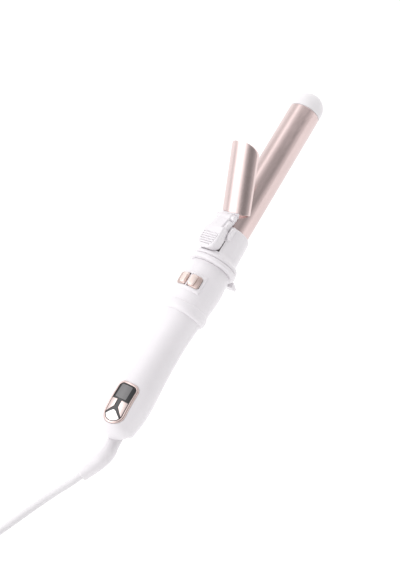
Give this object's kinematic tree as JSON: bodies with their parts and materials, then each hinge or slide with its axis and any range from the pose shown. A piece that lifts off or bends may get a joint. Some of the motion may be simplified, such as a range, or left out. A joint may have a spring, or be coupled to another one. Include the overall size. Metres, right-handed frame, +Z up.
{
  "type": "curling iron",
  "caption": "Corded curling iron with a motor-turned barrel, a sprung hair clamp with a thumb lever, a control panel, rotation buttons and a folding stand, resting on its stand.",
  "frame": {"origin": "the middle of the stand's foot, where it meets the table", "axes": "+X from the handle towards the barrel's tip along the table, +Y to the iron's left, +Z up from the table"},
  "size_m": [0.6364, 0.0992, 0.0948],
  "materials": {
    "white_plastic": "smooth moulded, softly glossy",
    "cord_jacket": "soft extruded jacket",
    "rose_metal": "rose coloured coating, satin",
    "rose_trim": "rose coloured metallic finish",
    "dark_window": "glossy, slightly see-through",
    "steel": "plain",
    "aluminium": "as extruded",
    "brass": "plain",
    "circuit_board": "lacquered board",
    "black_plastic": "moulded",
    "nylon": "moulded, natural",
    "heat_insulator": "heat resistant, ceramic-like"
  },
  "bodies": {
    "handle": {"handle_upper_shell": "white_plastic", "handle_lower_shell": "white_plastic", "handle_screw_front": "steel", "handle_screw_rear": "steel", "front_housing": "white_plastic", "stand_ring": "white_plastic", "stand_pin": "steel", "panel_bezel": "rose_trim", "panel_window": "dark_window", "lcd_module": "dark_window", "control_board": "circuit_board", "minus_key_switch": "black_plastic", "plus_key_switch": "black_plastic", "power_key_switch": "black_plastic", "direction_board": "circuit_board", "direction_switch_left": "black_plastic", "direction_switch_right": "black_plastic", "main_board": "circuit_board", "main_capacitor": "black_plastic", "drive_motor": "steel", "gearbox": "aluminium", "bearing_bush": "brass", "brush_block": "black_plastic", "brush_front": "brass", "brush_rear": "brass", "cord_boot": "white_plastic", "cord_run": "cord_jacket", "cord_coil": "cord_jacket", "cord_tail": "cord_jacket", "plug_body": "white_plastic", "plug_blade_left": "brass", "plug_blade_right": "brass"},
    "head": {"head_housing": "white_plastic", "drive_gear": "nylon", "slip_drum": "black_plastic", "slip_ring_front": "brass", "slip_ring_rear": "brass", "barrel": "rose_metal", "cool_tip": "white_plastic", "barrel_insulator": "heat_insulator", "heater_block_upper": "aluminium", "heater_block_lower": "aluminium", "ptc_heater": "heat_insulator", "thermal_fuse": "steel", "clamp_pin": "steel", "clamp_spring": "steel"},
    "pinion": {"drive_pinion": "brass"},
    "clamp": {"clamp_plate": "rose_metal", "clamp_cap": "white_plastic", "thumb_lever": "white_plastic"},
    "left_button": {"left_rotation_button": "rose_trim"},
    "right_button": {"right_rotation_button": "rose_trim"},
    "minus_key": {"minus_key": "rose_trim"},
    "plus_key": {"plus_key": "rose_trim"},
    "power_key": {"power_key": "rose_trim"},
    "stand": {"stand": "white_plastic"},
    "swivel": {"swivel_sleeve": "white_plastic"}
  },
  "joints": [
    {"name": "head_spin", "type": "hinge", "parent": "handle", "child": "head", "pos_m": [-0.01593, 0, 0.03141], "axis": [0.9937, 0, 0.1123], "continuous": true},
    {"name": "pinion_spin", "type": "hinge", "parent": "handle", "child": "pinion", "pos_m": [-0.01472, 0, 0.02068], "axis": [0.9937, 0, 0.1123], "continuous": true},
    {"name": "clamp_hinge", "type": "hinge", "parent": "head", "child": "clamp", "pos_m": [0.03434, 0.00313, 0.05411], "axis": [-0.0205, -0.9833, 0.1811], "range_deg": [-36, 0], "stiffness_Nm_per_rad": 0.1, "springref_deg": -68.75},
    {"name": "left_button_press", "type": "slide", "parent": "handle", "child": "left_button", "axis": [0.1045, -0.3665, -0.9245], "range_m": [0, 0.0008], "stiffness_N_per_m": 600, "springref_m": -0.0006},
    {"name": "right_button_press", "type": "slide", "parent": "handle", "child": "right_button", "axis": [0.1088, 0.2504, -0.962], "range_m": [0, 0.0008], "stiffness_N_per_m": 600, "springref_m": -0.0006},
    {"name": "minus_key_press", "type": "slide", "parent": "handle", "child": "minus_key", "axis": [0.1123, 0, -0.9937], "range_m": [0, 0.0005], "stiffness_N_per_m": 600, "springref_m": -0.0005},
    {"name": "plus_key_press", "type": "slide", "parent": "handle", "child": "plus_key", "axis": [0.1123, 0, -0.9937], "range_m": [0, 0.0005], "stiffness_N_per_m": 600, "springref_m": -0.0005},
    {"name": "power_key_press", "type": "slide", "parent": "handle", "child": "power_key", "axis": [0.1123, 0, -0.9937], "range_m": [0, 0.0005], "stiffness_N_per_m": 600, "springref_m": -0.0005},
    {"name": "stand_fold", "type": "hinge", "parent": "handle", "child": "stand", "pos_m": [-0.00107, 0, 0.00944], "axis": [0, 1, 0], "range_deg": [0, 88]},
    {"name": "cord_swivel", "type": "hinge", "parent": "handle", "child": "swivel", "pos_m": [-0.15712, 0, 0.0074], "axis": [0.9937, 0, 0.1123], "continuous": true}
  ],
  "couplings": [
    {"joint": "pinion_spin", "follows": "head_spin", "ratio": -2.2727}
  ]
}
